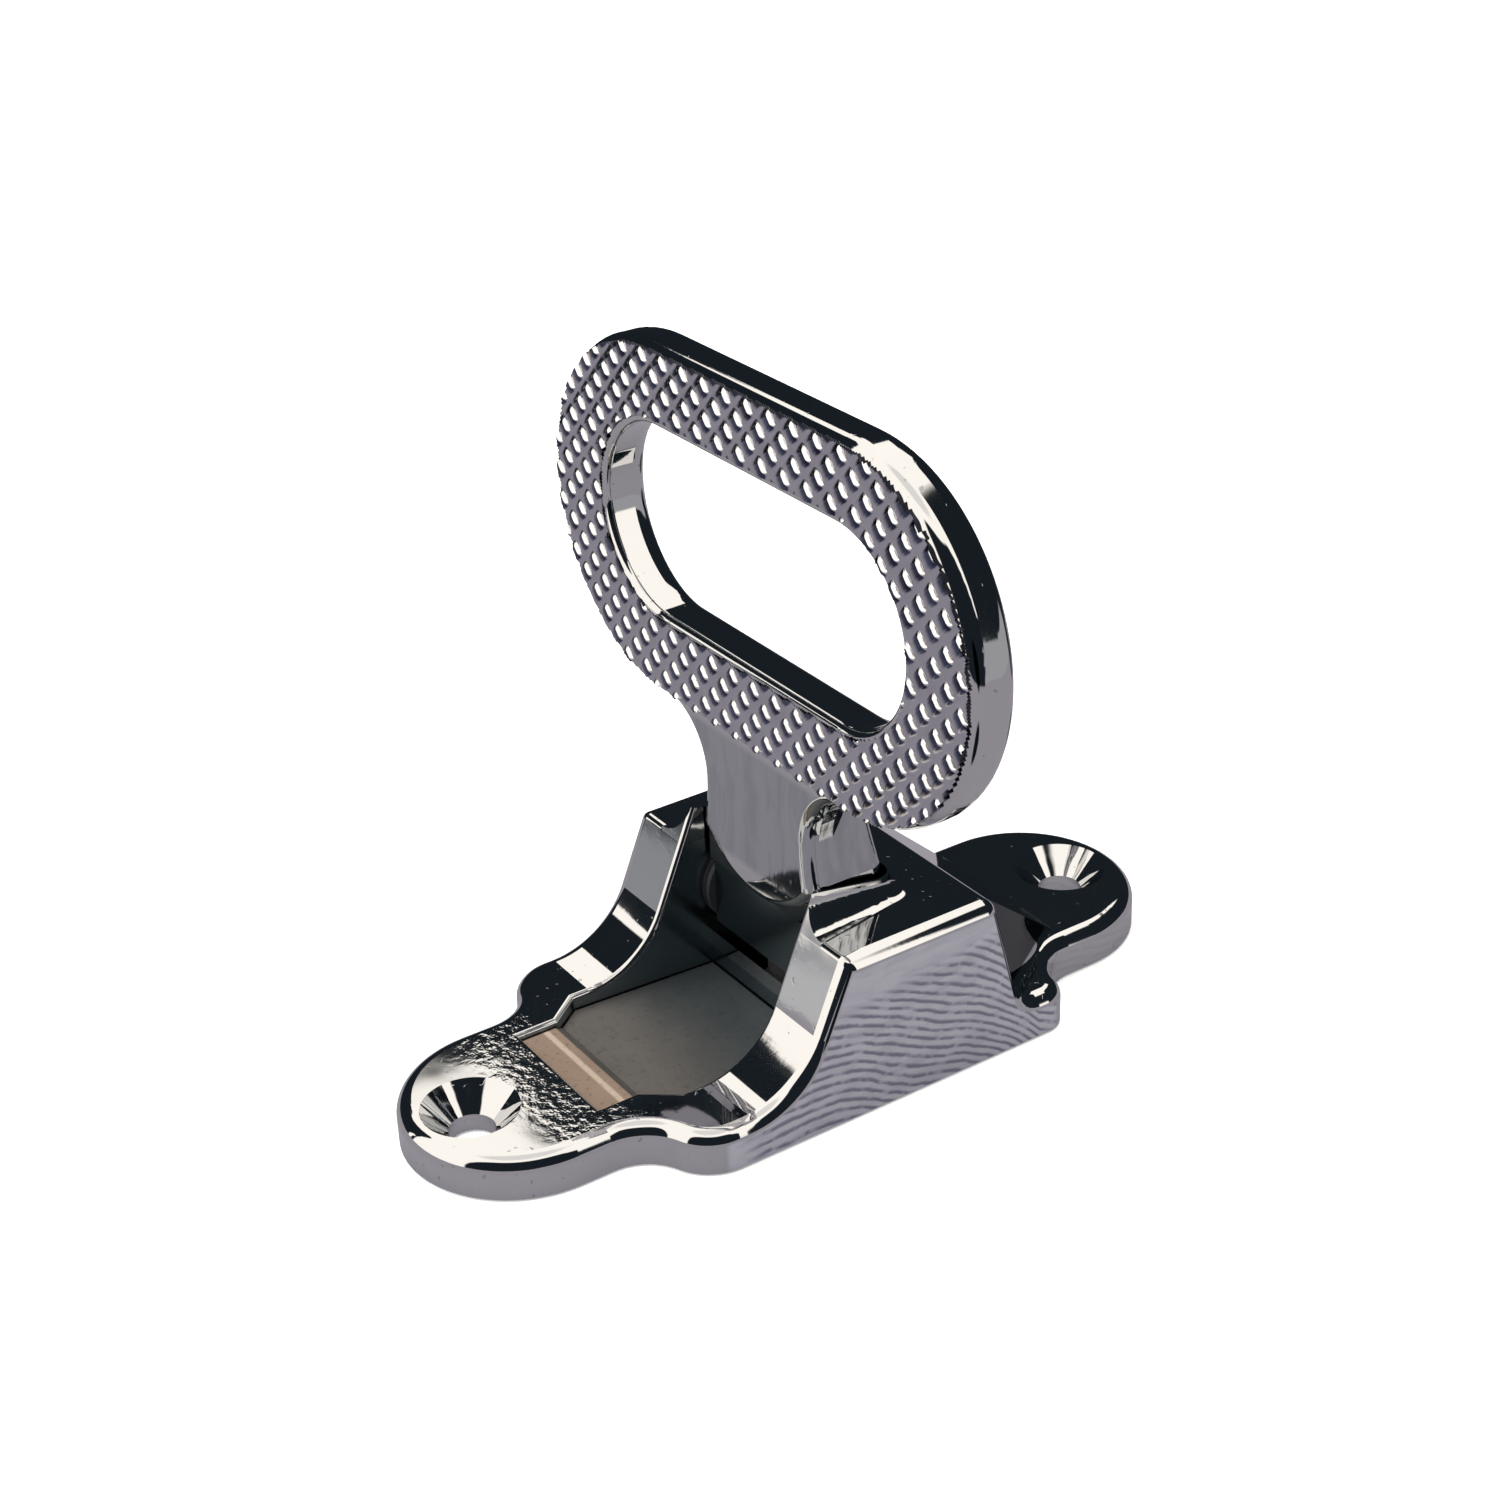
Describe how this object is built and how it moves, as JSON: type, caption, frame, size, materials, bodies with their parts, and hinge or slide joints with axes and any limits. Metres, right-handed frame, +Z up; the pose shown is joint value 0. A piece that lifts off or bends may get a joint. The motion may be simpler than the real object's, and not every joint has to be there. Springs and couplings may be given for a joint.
{
  "type": "folding ring handle",
  "caption": "Chromed ring handle with a knurled oval ring on a neck that stands between two cheeks, folds forward, and is fixed by a screw ear at each end.",
  "frame": {"origin": "on the mounting face, midway between the two fixing screws", "axes": "+X along the housing from the front ear, under the ring when it folds, to the rear ear; +Z up from the mounting face; Y along the pivot pin"},
  "size_m": [0.0708, 0.0564, 0.0567],
  "materials": {
    "chrome_plate": "polished chrome plate",
    "steel": "plain zinc-plated steel",
    "bronze": "dull, unplated",
    "nylon": "black, moulded"
  },
  "bodies": {
    "housing": {"housing_casting": "chrome_plate", "pivot_pin": "steel", "pin_bore_cap": "chrome_plate", "near_thrust_washer": "nylon", "far_thrust_washer": "nylon", "pin_grub_screw": "steel", "friction_pad": "nylon", "pressure_spring": "steel", "pocket_leaf": "bronze", "base_cover": "steel", "cover_screw_1": "steel", "cover_screw_2": "steel", "cover_screw_3": "steel", "cover_screw_4": "steel"},
    "lever": {"ring_lever": "chrome_plate", "near_bush": "bronze", "far_bush": "bronze"}
  },
  "joints": [
    {"name": "ring_fold", "type": "hinge", "parent": "housing", "child": "lever", "pos_m": [0.0014, 0, 0.0092], "axis": [0, -1, 0], "range_deg": [0, 90]}
  ]
}
